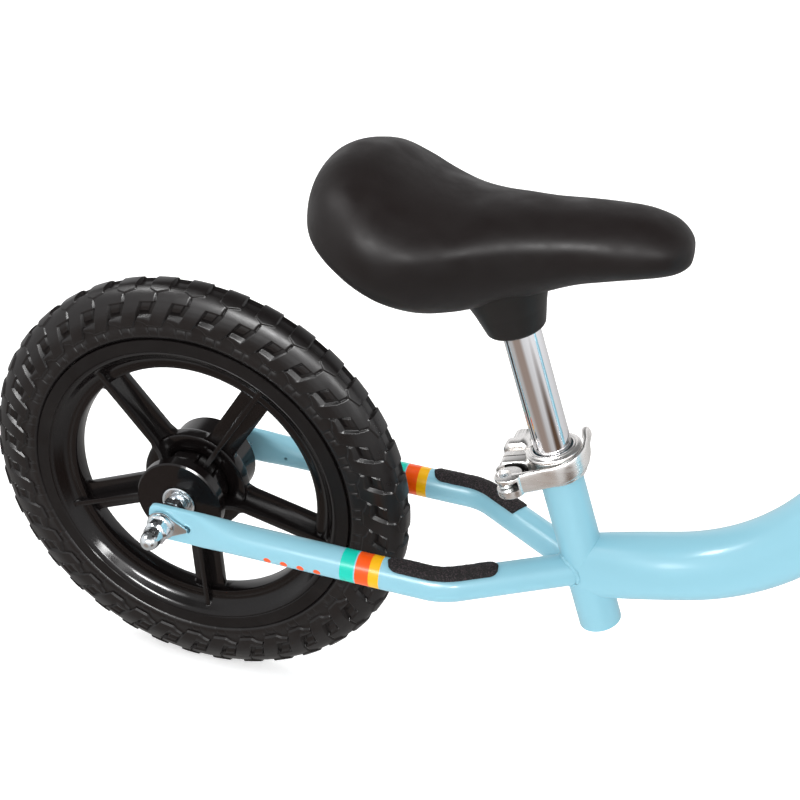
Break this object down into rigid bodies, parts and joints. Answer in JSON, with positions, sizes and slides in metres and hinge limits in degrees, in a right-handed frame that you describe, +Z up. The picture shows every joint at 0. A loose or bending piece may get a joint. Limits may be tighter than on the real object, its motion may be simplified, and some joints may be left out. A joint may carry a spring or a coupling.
{
  "type": "balance bike",
  "caption": "Child's push-along balance bike: light blue curved-tube frame, moulded black saddle on a quick-release post, foam tyres on spoked plastic wheels, straight fork and handlebar.",
  "frame": {"origin": "on the ground, midway between the two wheels' contact points", "axes": "+X forward, +Y to the rider's left, +Z up"},
  "size_m": [0.874, 0.4228, 0.559],
  "materials": {
    "blue_paint": "gloss light sky-blue enamel",
    "black_gloss": "gloss moulded black",
    "black_paint": "gloss black enamel",
    "foam_tyre": "satin closed-cell foam",
    "saddle_skin": "matt self-skinned polyurethane foam",
    "black_plastic": "matt moulded black",
    "grit": "coarse black anti-slip grit",
    "chrome": "mirror chrome",
    "zinc": "bright zinc",
    "alloy": "polished alloy",
    "grip_rubber": "matt ribbed rubber"
  },
  "bodies": {
    "frame": {"main_tube": "blue_paint", "seat_tube": "blue_paint", "head_tube": "blue_paint", "chainstay_right": "blue_paint", "chainstay_left": "blue_paint", "foot_grip_right": "grit", "foot_grip_left": "grit", "headset_cup_lower": "chrome", "headset_cup_upper": "chrome", "seat_collar": "alloy", "seat_skewer": "zinc", "seat_skewer_nut": "alloy", "seat_lever_pin": "zinc", "rear_axle": "zinc", "rear_cone_right": "zinc", "rear_cone_left": "zinc", "rear_tab_washer_right": "zinc", "rear_tab_washer_left": "zinc", "rear_dome_nut_right": "zinc", "rear_dome_nut_left": "zinc"},
    "seat_lever": {"seat_lever": "alloy"},
    "seat": {"seat_post": "chrome", "saddle_boss": "black_plastic", "saddle_base": "black_plastic", "saddle": "saddle_skin"},
    "rear_wheel": {"rear_tyre": "foam_tyre", "rear_rim": "black_gloss", "rear_bearing_right": "zinc", "rear_bearing_left": "zinc"},
    "fork": {"fork_steerer": "chrome", "fork_crown": "blue_paint", "fork_leg_right": "blue_paint", "fork_leg_left": "blue_paint", "crown_race": "zinc", "headset_locknut": "chrome", "bar_collar": "alloy", "bar_collar_bolt": "zinc", "bar_collar_nut": "zinc", "front_axle": "zinc", "front_cone_right": "zinc", "front_cone_left": "zinc", "front_tab_washer_right": "zinc", "front_tab_washer_left": "zinc", "front_dome_nut_right": "zinc", "front_dome_nut_left": "zinc"},
    "handlebar": {"handlebar_post": "black_paint", "handlebar": "black_paint", "grip_right": "grip_rubber", "grip_left": "grip_rubber"},
    "front_wheel": {"front_tyre": "foam_tyre", "front_rim": "black_gloss", "front_bearing_right": "zinc", "front_bearing_left": "zinc"}
  },
  "joints": [
    {"name": "rear_wheel_spin", "type": "hinge", "parent": "frame", "child": "rear_wheel", "pos_m": [-0.295, 0, 0.142], "axis": [0, 1, 0], "continuous": true},
    {"name": "steering", "type": "hinge", "parent": "frame", "child": "fork", "pos_m": [0.19711, 0, 0.30953], "axis": [-0.3746, 0, 0.9272], "range_deg": [-90, 90]},
    {"name": "front_wheel_spin", "type": "hinge", "parent": "fork", "child": "front_wheel", "pos_m": [0.295, 0, 0.142], "axis": [0, 1, 0], "continuous": true},
    {"name": "seat_height", "type": "slide", "parent": "frame", "child": "seat", "axis": [-0.2857, 0, 0.9583], "range_m": [-0.06, 0.015]},
    {"name": "bar_height", "type": "slide", "parent": "fork", "child": "handlebar", "axis": [-0.3746, 0, 0.9272], "range_m": [-0.04, 0.03]},
    {"name": "seat_lever_open", "type": "hinge", "parent": "frame", "child": "seat_lever", "pos_m": [-0.08839, -0.019, 0.19566], "axis": [0.2857, 0, -0.9583], "range_deg": [0, 140]}
  ]
}
